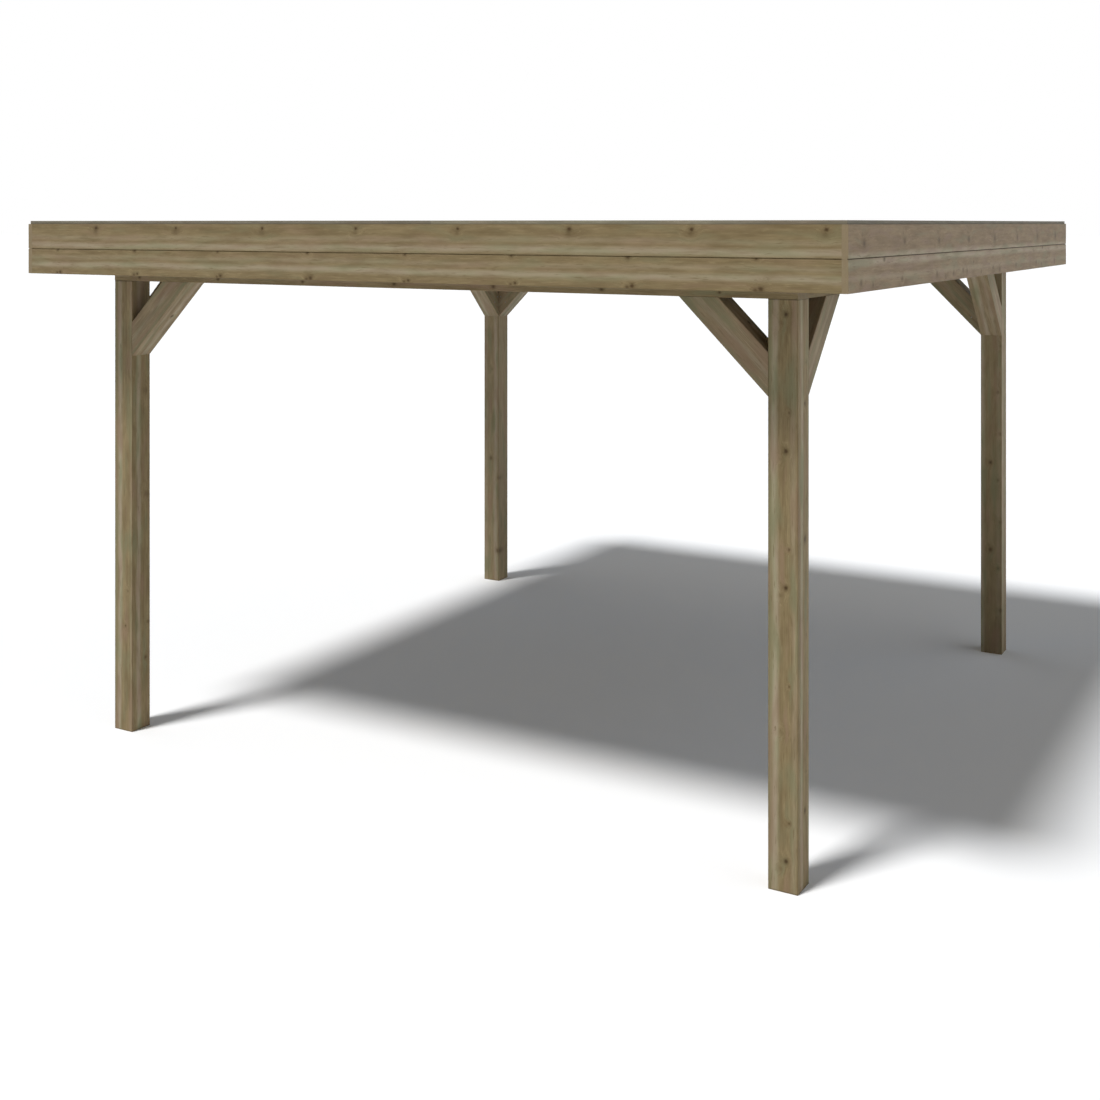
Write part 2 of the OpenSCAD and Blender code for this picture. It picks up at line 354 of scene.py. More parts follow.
PINE_TONES = {"Dark": (0.142, 0.099, 0.043), "Light": (0.284, 0.218, 0.112),
              "Sapwood": (0.334, 0.272, 0.164), "Knot": (0.040, 0.018, 0.002),
              "Green": (0.183, 0.175, 0.093), "Pink": (0.242, 0.157, 0.098),
              "Sawn": (0.204, 0.152, 0.081)}
NO_BANDS = ((1, 1, 1), (1, 1, 1), 1)


def new_material(name):
    """A material with its node tree."""
    material = bpy.data.materials.new(name)
    material.use_nodes = True
    return material, material.node_tree


def finish_surface(tree, colour, roughness, height, strength, depth):
    """Colour, roughness and a bump of some strength and depth for the Principled shader."""
    bump = tree.nodes.new("ShaderNodeBump")
    bump.inputs["Strength"].default_value = strength
    bump.inputs["Distance"].default_value = depth
    tree.links.new(height, bump.inputs["Height"])
    shader = tree.nodes["Principled BSDF"].inputs
    plug(tree, (shader["Base Color"], shader["Roughness"], shader["Normal"]),
         (colour, roughness, bump.outputs[0]))


def dress_pine(tree, place, half, seed, knots, bands, tones=None, treatment=1.0, worn=0.3,
               grimy=0.0):
    """Joins knots, grain, faces, bands and colour into the Principled shader of one pine
    material. A row of knots is (first, pitch, y, z, size, strength, stray). Bands are the
    middles of the pale, faint and reddish ones on the upright faces, those on the level faces,
    and the middle of the green one."""
    sums = {}
    for number, (first, pitch, y, z, size, strength, stray) in enumerate(knots):
        deep_y = abs(y) / half[1] > abs(z) / half[2]
        row = place_group(
            tree, knot_row, Position=place, First=first, Pitch=pitch, Seat=(0, y, z), Size=size,
            Shape=(1.15, 3.0, 1.0) if deep_y else (1.15, 1.0, 3.0),
            Strength=strength, Stray=stray, Seed=seed * 3.7 + number * 11.3,
        )
        for label in ("Core", "Rim", "Halo", "Bend"):
            value = row[label]
            sums[label] = calc(tree, "MAXIMUM", sums[label], value) if label in sums else value
    grains = place_group(tree, pine_grain, Position=place, Seed=seed, Bend=sums["Bend"])
    face = place_group(tree, timber_face, Position=place, Half_size=half)
    upright, flat, olive = bands
    band = place_group(
        tree, pale_bands, Across=face["Across"], Turned=face["Turned"], Sway=grains["Sway"],
        Upright=upright, Flat=flat, Olive_side=olive,
    )
    wood = place_group(
        tree, pine_board, Edge=face["Edge"], End=face["End"], Treatment=treatment,
        Worn_edge=worn, Grimy_end=grimy,
        **{label: sums[label] for label in ("Core", "Rim", "Halo")},
        **{label: band[label] for label in ("Pale", "Rose", "Olive")},
        **{label: grains[label]
           for label in ("Rings", "Streak", "Lane", "Fibre", "Cast", "Patch", "Fleck")},
        **{name: (*tone, 1) for name, tone in {**PINE_TONES, **(tones or {})}.items()},
    )
    finish_surface(tree, *wood, strength=0.45, depth=0.0008)
    tree.nodes["Principled BSDF"].inputs["Specular IOR Level"].default_value = 0.20


def pine(node, seed, centre, half, turn, tilt, knots, bands, **more):
    """The material of one length of timber, put on its solid."""
    material, tree = new_material(f"pine of {node}")
    place = timber_position(tree, centre, turn, tilt)
    dress_pine(tree, place, half, seed, knots, bands, **more)
    finish_node(node, material)
    return material


def middle(node):
    """Middle and half size of a solid's box."""
    low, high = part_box(node)
    return (low + high) / 2, (high - low) / 2


def level_timber(node):
    """Middle of a timber that lies level, half its size with the grain first, and its heading."""
    centre, half = middle(node)
    turned = half.y > half.x
    return centre, (half.y, half.x, half.z) if turned else tuple(half), 90 if turned else 0


def finish_node(node, material):
    """Gives a solid its material."""
    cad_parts[node].material_slots[0].material = material


POST_HALF = 0.060
KNOT_PITCH = 0.516
HIDDEN_PITCH = 0.514
LONE_KNOT = 4.0


def front_knots(first, across, size, strength, pitch=LONE_KNOT):
    """Knots on a post's front face. At the usual pitch, longer than the post, there is one."""
    return first, pitch, -POST_HALF, across, size, strength, 0


def side_knots(first, across, size, strength, pitch=LONE_KNOT):
    """Knots on a post's right face."""
    return first, pitch, across, -POST_HALF, size, strength, 0


def hidden_knots(first, y, z, size):
    """Knots on a face that is seldom seen, a little out of line."""
    return first, HIDDEN_PITCH, y, z, size, 1.0, 0.3


post_knots = {
    "post_front_right": [
        front_knots(-1.0010, -0.0120, 0.0074, 1.0, 2.0 * KNOT_PITCH),
        front_knots(0.5470, -0.0120, 0.0074, 1.0),
        front_knots(-1.0320, 0.0080, 0.0085, 0.22, KNOT_PITCH),
        front_knots(-0.8560, -0.0245, 0.0050, 0.60, KNOT_PITCH),
        side_knots(-0.8260, 0.0155, 0.0088, 0.95, 2.0 * KNOT_PITCH),
        side_knots(0.7220, 0.0155, 0.0090, 0.95),
        side_knots(-0.6820, 0.028, 0.0050, 0.35, 0.520),
        hidden_knots(-0.6000, POST_HALF, 0.020, 0.0070),
        hidden_knots(-0.4000, -0.020, POST_HALF, 0.0065),
    ],
    "post_front_left": [
        front_knots(-0.5980, -0.0145, 0.0062, 0.70),
        front_knots(-0.4230, -0.0310, 0.0055, 0.40),
        side_knots(-0.7710, 0.031, 0.0075, 0.60),
        side_knots(-0.5950, 0.045, 0.0065, 0.50),
        side_knots(0.0500, 0.036, 0.0125, 0.35),
        side_knots(0.5680, 0.028, 0.0125, 0.35),
        hidden_knots(-0.7000, POST_HALF, -0.020, 0.0070),
        hidden_knots(-0.3000, -0.010, POST_HALF, 0.0065),
    ],
    "post_back_right": [
        front_knots(0.0005, 0.0045, 0.0075, 0.85),
        front_knots(-0.5110, 0.0045, 0.0080, 0.75),
        front_knots(-0.1010, -0.0385, 0.0085, 0.35, KNOT_PITCH),
        front_knots(0.1700, -0.0530, 0.0100, 0.30, KNOT_PITCH),
        side_knots(-0.2640, 0.010, 0.0056, 0.5, KNOT_PITCH),
        hidden_knots(-0.4000, POST_HALF, 0.024, 0.0070),
        hidden_knots(-0.1000, -0.020, POST_HALF, 0.0060),
    ],
    "post_back_left": [
        front_knots(-0.2577, 0.0044, 0.0100, 0.60),
        front_knots(-0.9072, -0.0535, 0.0120, 0.70),
        front_knots(-0.3934, -0.0580, 0.0090, 0.40),
        front_knots(0.3733, -0.0040, 0.0110, 0.22),
        hidden_knots(-0.7000, POST_HALF, -0.010, 0.0070),
        hidden_knots(-0.3500, 0.020, POST_HALF, 0.0060),
    ],
}
post_bands = {
    "post_front_right": ((0.031, -0.046, -0.034), (-0.021, 0.052, 0.030), 0.0525),
    "post_front_left": ((0.023, -0.055, -0.020), (-0.016, 1, 0.018), 0.0520),
    "post_back_right": ((0.050, -0.042, 1), (-0.030, 1, 1), 1),
    "post_back_left": ((-0.0335, 0.042, -0.056), (1, 1, 1), 1),
}
# The back posts get tones of their own. The back-left post's are paler, painted light for a post
# that stands in the roof's shade.
post_tones_with_painted_light = {
    "post_back_left": {"Dark": (0.196, 0.143, 0.074), "Light": (0.312, 0.248, 0.142),
                       "Sapwood": (0.352, 0.290, 0.185)},
    "post_back_right": {"Dark": (0.163, 0.117, 0.056), "Light": (0.274, 0.214, 0.117)},
}
# Each post darkens near both ends, where it meets the beam and the ground: painted contact shade
# with some dirt.
for number, (post, rows) in enumerate(post_knots.items()):
    centre, half = middle(post)
    grain_half = (half.z, half.y, half.x)
    pine(post, 3.1 + 2.3 * number, centre, grain_half, 0, 90, rows, post_bands[post],
         tones=post_tones_with_painted_light.get(post), worn=0.45, grimy=0.55)


# -------------------------------- knee braces
# Eight braces of the same 120 mm pine at 45 degrees between posts and ring beam, their
# faces flush with the posts' outer faces, and both ends cut to lie flat on the timber.

BRACE_DEPTH = 0.120
BRACE_REACH = 0.6

# Heading of each brace in plan, its rise, and the side on which its post stands
brace_ways = {
    "brace_front_left": (0, 45, -1), "brace_front_right": (0, 135, 1),
    "brace_back_left": (0, 45, -1), "brace_back_right": (0, 135, 1),
    "brace_left_front": (90, 45, -1), "brace_left_back": (90, 135, 1),
    "brace_right_front": (90, 45, -1), "brace_right_back": (90, 135, 1),
}
brace_tones = {"Dark": (0.173, 0.124, 0.067), "Light": (0.330, 0.258, 0.153),
               "Sapwood": (0.379, 0.313, 0.202)}
# A darker copy of the brace tones for the right-hand front brace, which lies deeper in shade:
# painted shade.
painted_shade_brace_tones = {"Dark": (0.158, 0.113, 0.062), "Light": (0.302, 0.236, 0.141),
                    "Sapwood": (0.347, 0.286, 0.186)}
BRACE_OLIVE = 0.0500
BRACE_KNOT = 3.0
for number, (brace, (turn, tilt, lean)) in enumerate(brace_ways.items()):
    centre, half = middle(brace)
    inward = Vector((0, lean, 1)) if turn else Vector((lean, 0, 1))
    centre = centre + inward.normalized() * BRACE_DEPTH / 2
    thick = half.x if turn else half.y
    lower = 1 if tilt > 90 else -1
    rows = [
        (-0.11 + 0.017 * number, BRACE_KNOT, thick, -0.018, 0.0060, 1.0, 0),
        (0.02 - 0.015 * number, BRACE_KNOT, 0.01, -BRACE_DEPTH / 2, 0.0060, 1.0, 0),
    ]
    tones = painted_shade_brace_tones if brace == "brace_right_front" else brace_tones
    pine(brace, 15.7 + 1.9 * number, centre, (BRACE_REACH, thick, BRACE_DEPTH / 2), turn, tilt,
         rows, ((1, 0.004 * lower, 1), (0.020, -0.030, 1), BRACE_OLIVE * lower), tones=tones)


# -------------------------------- ring beam
# Four beams of the posts' section lie on the posts, halved over each other at the
# corners. Their undersides and lower edges show below the fascia.

for number, beam in enumerate(("beam_front", "beam_back", "beam_left", "beam_right")):
    rows = [
        (-1.6215 + 0.11 * number, KNOT_PITCH, -POST_HALF, -0.041, 0.0058, 0.8, 0),
        (-0.90 + 0.13 * number, KNOT_PITCH, POST_HALF, 0.015, 0.0070, 1.0, 0.3),
        (-1.20 + 0.17 * number, KNOT_PITCH, 0.018, -POST_HALF, 0.0065, 1.0, 0.3),
    ]
    pine(beam, 31.3 + 2.7 * number, *level_timber(beam), 0, rows,
         ((-0.02, 0.03, 1), (0.03, -0.02, 1), 1))


# -------------------------------- roof frame
# Sawn and planed joists, 45 by 120 mm: five rafters from front to back, seven lookouts
# on each side from the outermost rafter to the rim, and rim joists all round. They are
# screwed to each other and to the ring beam.

JOIST_HALF = 0.0225
joist_tones = {"Dark": (0.140, 0.098, 0.046), "Light": (0.285, 0.216, 0.118)}
joist_bands = ((0.03, -0.01, 1), (1, 1, 1), 1)

rafters = [f"rafter_{i}" for i in range(1, 6)]
rims = [f"rim_{side}" for side in ("front", "back", "left", "right")]
for number, timber in enumerate(rafters + rims):
    rows = [
        (-1.60 + 0.21 * number, 0.61, -JOIST_HALF, 0.02 - 0.006 * number, 0.0075, 1.0, 0.5),
        (-1.50 + 0.19 * number, 0.67, JOIST_HALF, -0.03 + 0.006 * number, 0.0075, 1.0, 0.5),
    ]
    pine(timber, 47.9 + 3.1 * number, *level_timber(timber), 0, rows, joist_bands,
         tones=joist_tones)


def pine_pieces(name, seed, centre, half, pitch, pieces, knots, bands, tones):
    """The material of several like timbers side by side at one pitch. Position wraps round to
    the nearest timber, and each timber's share of the grain is shifted by white noise of its
    number, so no two look the same."""
    material, tree = new_material(name)
    along, aside, high = split(tree, timber_position(tree, centre))
    shift = 0.5 if pieces % 2 == 0 else 0.0
    steps = calc(tree, "SUBTRACT", calc(tree, "DIVIDE", aside, pitch), shift)
    count = calc(tree, "ADD", calc(tree, "ROUND", steps), shift)
    dice = throw_dice(tree, calc(tree, "ADD", count, seed))
    along = calc(tree, "MULTIPLY_ADD", dice["Value"], 9.0, along)
    aside = calc(tree, "MULTIPLY_ADD", count, -pitch, aside)
    dress_pine(tree, join(tree, along, aside, high), half, seed, knots, bands, tones)
    return material


LOOKOUTS = 7
ENDLESS = 20.0
lookout_low, lookout_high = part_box("lookouts_left")
LOOKOUT_PITCH = (lookout_high.y - lookout_low.y - 2 * JOIST_HALF) / (LOOKOUTS - 1)
lookout_rows = [(0.2, 0.61, -JOIST_HALF, 0.02, 0.0075, 1.0, 0.6),
                (0.45, 0.67, JOIST_HALF, -0.02, 0.0075, 1.0, 0.6)]
for number, side in enumerate(("lookouts_left", "lookouts_right")):
    centre, half = middle(side)
    finish_node(side, pine_pieces(f"pine of {side}", 76.4 + number, centre,
                                  (ENDLESS, JOIST_HALF, half.z), LOOKOUT_PITCH, LOOKOUTS,
                                  lookout_rows, joist_bands, joist_tones))


# -------------------------------- roof boards
# Boards 18 mm thick and 120 mm wide, laid along the longer side and nailed to the
# rafters. From below they show a V joint between one board and the next.

BOARD_PITCH = 0.120
deck_centre, deck_half = middle("roof_deck")
deck_rows = [
    (0.10, 0.71, 0.020, -0.009, 0.0080, 1.0, 0.9),
    (0.40, 0.93, -0.028, -0.009, 0.0100, 1.0, 0.9),
]
finish_node("roof_deck", pine_pieces(
    "pine of roof boards", 88.2, deck_centre, (ENDLESS, BOARD_PITCH / 2, deck_half.z),
    BOARD_PITCH, 2 * math.floor(deck_half.y / BOARD_PITCH), deck_rows, NO_BANDS,
    {"Dark": (0.190, 0.135, 0.070), "Light": (0.330, 0.255, 0.150)},
))


# -------------------------------- roof sheet
# Black rubber sheeting over the boards, laid in three lengths with lapped seams and
# turned up against the rim joists under the cap. It is dull, and clouded by dust.

def rubber_material():
    """Dark grey rubber, clouded by dust that noise spreads over it, with a fine pebbled bump."""
    material, tree = new_material("roof rubber")
    place = tree.nodes.new("ShaderNodeTexCoord").outputs["Object"]
    rubber_dust_and_groove_shade = cloud(tree, place, (1.3, 1.7, 1.0), 4.0, 0.6)
    drift = cloud(tree, place, (9.0, 7.0, 9.0), 3.0, 0.6)
    grit = cloud(tree, place, (420.0, 420.0, 420.0), 1.0)
    amount = calc(tree, "MULTIPLY", fade(tree, rubber_dust_and_groove_shade, 0.35, 0.75), fade(tree, drift, 0.2, 0.8))
    tone = blend(tree, calc(tree, "MULTIPLY", amount, 0.55), (0.022, 0.022, 0.024, 1),
                 (0.085, 0.082, 0.076, 1))
    rough = fade(tree, amount, 0.0, 0.7, 0.50, 0.72)
    finish_surface(tree, tone, rough, grit, strength=0.35, depth=0.0006)
    return material


rubber = rubber_material()
finish_node("roof_sheet", rubber)


def new_piece(name, points, faces):
    """A mesh object in the scene."""
    mesh = bpy.data.meshes.new(name)
    mesh.from_pydata(points, [], faces)
    piece = bpy.data.objects.new(name, mesh)
    bpy.context.scene.collection.objects.link(piece)
    return piece


def sweep(name, path, section, closed):
    """A section carried along a level path. Each point of the mesh is a path point, plus the
    section's width along the path's mitred sideways direction, plus its height along Z. A
    closed path joins its ends, and an open one is capped."""
    path, section = np.array(path, float), np.array(section, float)
    count, ring = len(path), len(section)
    if closed:
        ahead = np.roll(path, -1, 0) - path
        behind = path - np.roll(path, 1, 0)
    else:
        ahead = np.vstack([path[1:] - path[:-1], path[-1:] - path[-2:-1]])
        behind = np.vstack([path[1:2] - path[:1], path[1:] - path[:-1]])
    ahead /= np.linalg.norm(ahead, axis=1)[:, None]
    behind /= np.linalg.norm(behind, axis=1)[:, None]
    left = np.stack([-ahead[:, 1] - behind[:, 1], ahead[:, 0] + behind[:, 0], 0 * ahead[:, 0]], 1)
    left /= np.linalg.norm(left, axis=1)[:, None]
    mitre = 1 / np.maximum(0.2, np.abs(left[:, 1] * ahead[:, 0] - left[:, 0] * ahead[:, 1]))
    points = (path[:, None] + left[:, None] * mitre[:, None, None] * section[:, :1]
              + np.array([0, 0, 1.0]) * section[:, 1:])
    rows = np.arange(count if closed else count - 1)
    here = rows[:, None] * ring + np.arange(ring)
    there = ((rows + 1) % count)[:, None] * ring + np.arange(ring)
    faces = np.stack([here, np.roll(here, -1, 1), np.roll(there, -1, 1), there], -1).reshape(-1, 4)
    faces = faces.tolist()
    if not closed:
        faces += [list(range(ring))[::-1], list(range((count - 1) * ring, count * ring))]
    return new_piece(name, points.reshape(-1, 3).tolist(), faces)


def add_piece(piece, material):
    """Material, body and slot of a new piece."""
    piece.data.materials.append(material)
    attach(piece, "root")


SHEET_UPSTAND = 0.021
SHEET_THICK = 0.002
LAP_WIDTH = 0.060
LAP_RISE = 0.0022
SHEET_LENGTHS = 3
LAP_INSET = 0.004
CLEAR = 0.0003
sheet_low, sheet_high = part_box("roof_sheet")

# The turned-up edge: an L of rubber with a small fillet at its foot, round the tray. Its
# foot lies bonded on the sheet and ends in a thin feathered edge.
upstand_path = [
    (sheet_low.x, sheet_low.y, sheet_high.z), (sheet_high.x, sheet_low.y, sheet_high.z),
    (sheet_high.x, sheet_high.y, sheet_high.z), (sheet_low.x, sheet_high.y, sheet_high.z),
]
FILLET = 0.010
FOOT_WIDTH = 0.055
FOOT_THICK = 0.0012
BEDDED = -0.0005
curve = [(SHEET_THICK + FILLET * (1 - math.cos(a)), FOOT_THICK + FILLET * (1 - math.sin(a)))
         for a in np.linspace(0, math.pi / 2, 6)]
upstand_section = [
    (CLEAR, BEDDED), (CLEAR, SHEET_UPSTAND), (SHEET_THICK, SHEET_UPSTAND), *curve,
    (FOOT_WIDTH - 0.001, FOOT_THICK), (FOOT_WIDTH, FOOT_THICK - 0.0008), (FOOT_WIDTH, BEDDED),
]
edge = sweep("roof_sheet_upstand", upstand_path, upstand_section[::-1], True)
add_piece(edge, rubber)

# The lapped seams: low bevelled strips where one length covers the next
for number in range(1, SHEET_LENGTHS):
    y = sheet_low.y + (sheet_high.y - sheet_low.y) * number / SHEET_LENGTHS
    x = np.linspace(sheet_low.x + LAP_INSET, sheet_high.x - LAP_INSET, 60)
    wave = 0.0022 * np.sin(x * 3.1 + number) + 0.0012 * np.sin(x * 7.7)
    lap_path = np.stack([x, y + wave, np.full_like(x, sheet_high.z)], 1)
    half = LAP_WIDTH / 2
    lap_section = [(-half, BEDDED), (-half, 0.0007), (-half + 0.001, LAP_RISE),
                   (half - 0.004, LAP_RISE), (half, 0.0002), (half, BEDDED)]
    lap = sweep(f"roof_sheet_lap_{number}", lap_path, lap_section[::-1], False)
    add_piece(lap, rubber)


# -------------------------------- fascia
# Two tongued and grooved pine boards on edge on each side, with an open shadow groove
# between them. They are screwed to the rim joists from inside. The side boards run through
# to the front and back faces, where their freshly sawn, paler ends show.

BOARD_FACE = middle("fascia_upper_front")[1].y
BOARD_HALF = middle("fascia_upper_front")[1].z
SIDE_PITCH = 0.518
FAR_PITCH = 3.0

# Rows of knots on the outer faces: first, height, size, strength, and a pitch of their own
fascia_rows = {
    "front": {
        "upper": [(-1.6110, 0.0420, 0.0078, 1.00), (-1.6150, 0.0250, 0.0110, 0.32)],
        "lower": [(-1.3575, 0.0590, 0.0075, 0.90),
                  (-1.3400, -0.0505, 0.0078, 0.95),
                  (-1.3610, -0.0555, 0.0065, 0.75)],
    },
    "right": {
        "upper": [(-1.8890, -0.0080, 0.0110, 0.72),
                  (-1.8930, -0.0050, 0.0210, 0.30),
                  (-1.9100, 0.0250, 0.0080, 0.35)],
        "lower": [(-1.9250, -0.0280, 0.0090, 0.58),
                  (-1.7840, -0.0400, 0.0080, 0.50, 2.0 * SIDE_PITCH),
                  (-1.6440, 0.0535, 0.0080, 0.80, FAR_PITCH),
                  (-0.6110, -0.0317, 0.0090, 0.62, FAR_PITCH),
                  (-0.4440, -0.0227, 0.0090, 0.62, FAR_PITCH),
                  (-0.2460, 0.0083, 0.0090, 0.50, FAR_PITCH),
                  (-0.0990, -0.0417, 0.0090, 0.55, FAR_PITCH)],
    },
    "back": {
        "upper": [(-1.550, 0.0415, 0.0068, 1.0), (-1.400, 0.0100, 0.0060, 0.4)],
        "lower": [(-1.300, 0.0200, 0.0058, 0.8), (-1.371, -0.0450, 0.0064, 0.8)],
    },
    "left": {
        "upper": [(-1.750, 0.0300, 0.0068, 1.0), (-1.500, -0.0150, 0.0060, 0.4)],
        "lower": [(-1.450, 0.0100, 0.0058, 0.8), (-1.371, -0.0480, 0.0064, 0.8)],
    },
}
fascia_bands = {
    "front": {"upper": ((-0.0400, -0.0030, 1), (1, 1, 1), 1),
              "lower": ((-0.0138, 0.0232, 1), (1, 1, 1), 1)},
    "right": {"upper": ((-0.0560, 1, 1), (1, 1, 1), 1),
              "lower": ((0.0430, -0.0150, 1), (1, 1, 1), 1)},
}
front_tones = {"Dark": (0.135, 0.094, 0.041), "Light": (0.267, 0.203, 0.103),
               "Sapwood": (0.300, 0.246, 0.149)}
# Tones of the side boards, paler and bluer than the front boards' of the same wood: painted light
# on the side faces.
side_tones_with_painted_light = {"Dark": (0.153, 0.101, 0.055), "Light": (0.287, 0.212, 0.123),
              "Sapwood": (0.337, 0.273, 0.181), "Green": (0.191, 0.174, 0.104),
              "Pink": (0.237, 0.164, 0.119), "Sawn": (0.243, 0.190, 0.110)}


def groove_shade_group():
    """How much painted shade darkens the inside of the shadow groove. It is full where the point is
    deeper than a millimetre behind the board's face and within the groove's height of the
    joint, and it stops short of the board's sawn ends."""
    t, has, out = start_group(
        "Painted shade in the groove",
        {"Position": (0, 0, 0), "Face": 0.012, "Joint": 0.06, "Reach": 2.0}, ("Groove shade",),
    )
    along, aside, high = split(t, has["Position"])
    deep = calc(t, "SUBTRACT", has["Face"], calc(t, "ABSOLUTE", aside))
    near = calc(t, "ABSOLUTE", calc(t, "SUBTRACT", high, has["Joint"]))
    end = calc(t, "SUBTRACT", has["Reach"], calc(t, "ABSOLUTE", along))
    inner = calc(t, "MULTIPLY", fade(t, deep, 0.0004, 0.0016), fade(t, end, 0.0005, 0.0030))
    plug(t, out, [calc(t, "MULTIPLY", inner, fade(t, near, 0.010, 0.008))])
    return t


groove_shade = groove_shade_group()
# Colour and share of the painted shade inside the shadow groove.
GROOVE_SHADE = (0.050, 0.036, 0.020, 1)
GROOVE_SHADE_SHARE = 0.8


def paint(material, amount, colour, way="MIX"):
    """Lays a colour over a timber's own by amount."""
    tree = material.node_tree
    base = tree.nodes["Principled BSDF"].inputs["Base Color"]
    tree.links.new(blend(tree, amount, base.links[0].from_socket, colour, way), base)


def paint_groove_shade(material, joint, reach):
    """Darkens the material of a side board inside the groove with painted shade."""
    tree = material.node_tree
    rubber_dust_and_groove_shade = place_group(tree, groove_shade, Position=tree.nodes["Mapping"].outputs[0],
                       Face=BOARD_FACE, Joint=joint, Reach=reach)["Groove shade"]
    paint(material, calc(tree, "MULTIPLY", rubber_dust_and_groove_shade, GROOVE_SHADE_SHARE), GROOVE_SHADE)


for number, (side, boards) in enumerate(fascia_rows.items()):
    turned = side in ("left", "right")
    face = -BOARD_FACE if side in ("front", "right") else BOARD_FACE
    usual = SIDE_PITCH if side == "right" else KNOT_PITCH
    for level, (board, knots) in enumerate(boards.items()):
        rows = [(first, *(pitch or [usual]), face, high, size, strength,
                 0 if face < 0 else (0.1, 0.2)[row])
                for row, (first, high, size, strength, *pitch) in enumerate(knots)]
        node = f"fascia_{board}_{side}"
        centre, half = middle(node)
        centre.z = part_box(node)[0].z + BOARD_HALF
        grain_half = (half.y if turned else half.x, BOARD_FACE, BOARD_HALF)
        like = "right" if turned else "front"
        wood = pine(node, 101.7 + 5.3 * number + 2.1 * level, centre, grain_half,
                    90 if turned else 0, 0, rows, fascia_bands[like][board],
                    tones=side_tones_with_painted_light if turned else front_tones,
                    treatment=0.8 if turned else 0.5, worn=0.08 if turned else 0.25)
        if turned:
            paint_groove_shade(wood, BOARD_HALF if board == "lower" else -BOARD_HALF, grain_half[0])


# -------------------------------- cap
# Flat boards, 70 by 15 mm, laid on the fascia's top edge all round and mitred at the
# corners. They lie open to the weather, so they are greyer than the fascia. The front one is
# laid in two lengths, and the right-hand length is paler up to near its mitre.

FRONT_JOINT = 0.317
PALE_UNTIL = 1.50
GREY_FROM = 1.70
PALER = (1.28, 1.30, 1.26, 1)


def pale_length(material, start, stop, end, tint):
    """Multiplies the colour of a timber by a tint beyond a joint, and less near its end."""
    tree = material.node_tree
    along = split(tree, tree.nodes["Mapping"].outputs[0])[0]
    beyond = calc(tree, "MULTIPLY", fade(tree, along, start, start + 0.001),
                  fade(tree, along, end, stop, 0.25, 1.0))
    paint(material, beyond, tint, "MULTIPLY")


cap_tones = {"Dark": (0.134, 0.116, 0.080), "Light": (0.232, 0.207, 0.155)}
# The right-hand cap has darker tones than the others.
worn_cap_tones = {"Dark": (0.122, 0.107, 0.076), "Light": (0.202, 0.180, 0.134)}
for number, side in enumerate(("front", "back", "left", "right")):
    cap = f"cap_{side}"
    rows = [(-1.50 + 0.2 * number, 0.63, 0.012, 0.0075, 0.0060, 1.0, 0.6)]
    wood = pine(cap, 143.2 + 2.9 * number, *level_timber(cap), 0, rows,
                ((1, 1, 1), (0.012, -0.018, 1), 1),
                tones=worn_cap_tones if side == "right" else cap_tones, treatment=0.4)
    if side == "front":
        pale_length(wood, FRONT_JOINT, PALE_UNTIL, GREY_FROM, PALER)


# -------------------------------- screws
# Zinc-plated wood screws with low lens heads and a star recess. They are driven at a slant
# through the braces' inner faces and the joists' sides, and straight through the rim
# joists into the fascia, so none of them shows from outside.

HEAD_TURNS = 12
HEAD_PROFILE = np.array([
    (0.0050, -0.0012, 0.0), (0.0050, 0.0002, 0.0), (0.0036, 0.0009, 0.0),
    (0.0021, 0.0011, 0.18), (0.0018, 0.0004, 0.18),
])
SLANT = math.radians(25)
END_GAP = 0.052
PAIR_GAP = 0.026
TOE_RISE = 0.030
TOE_STAGGER = 0.020
LOWER_ROW = 0.026
UPPER_ROW = 0.084


def screw_heads(name, heads):
    """Heads of screws, given as (seat, face normal, way to the joint or None). A point of a
    head is its seat, plus the ring's height along the axis, plus the ring's radius round it.
    Rings of the recess swell by their lobe times the cosine of six times the angle, which
    makes the star. The axis is the normal, slanted away from the joint."""
    seats = np.array([head[0] for head in heads], float)
    axes = np.array([
        normal if way is None else Vector(normal) * math.cos(SLANT) - Vector(way) * math.sin(SLANT)
        for _, normal, way in heads
    ], float)
    spare = np.where(np.abs(axes[:, 2:]) < 0.9, [[0.0, 0.0, 1.0]], [[1.0, 0.0, 0.0]])
    side = np.cross(spare, axes)
    side /= np.linalg.norm(side, axis=1)[:, None]
    up = np.cross(axes, side)
    angle = np.arange(HEAD_TURNS) * 2 * math.pi / HEAD_TURNS
    roll = 2.4 * np.arange(len(seats))
    turn = (angle + roll[:, None])[:, None, :, None]
    radius = HEAD_PROFILE[:, :1] * (1 + HEAD_PROFILE[:, 2:] * np.cos(6 * angle))
    radius = radius[:, :, None]
    height = HEAD_PROFILE[:, None, 1:2]
    seats, axes, side, up = (row[:, None, None, :] for row in (seats, axes, side, up))
    points = seats + axes * height + radius * (side * np.cos(turn) + up * np.sin(turn))
    rings = len(HEAD_PROFILE)
    round_it = np.arange(HEAD_TURNS)
    first = np.arange(rings - 1)[:, None] * HEAD_TURNS
    low = (first + round_it).ravel()
    ahead = (first + np.roll(round_it, -1)).ravel()
    walls = np.stack([low, ahead, ahead + HEAD_TURNS, low + HEAD_TURNS], 1)
    caps = np.stack([round_it[::-1], round_it + (rings - 1) * HEAD_TURNS])
    start = np.arange(len(heads))[:, None, None] * rings * HEAD_TURNS
    faces = (walls + start).reshape(-1, 4).tolist()
    faces += (caps + start).reshape(-1, HEAD_TURNS).tolist()
    add_piece(new_piece(name, points.reshape(-1, 3).tolist(), faces), zinc)


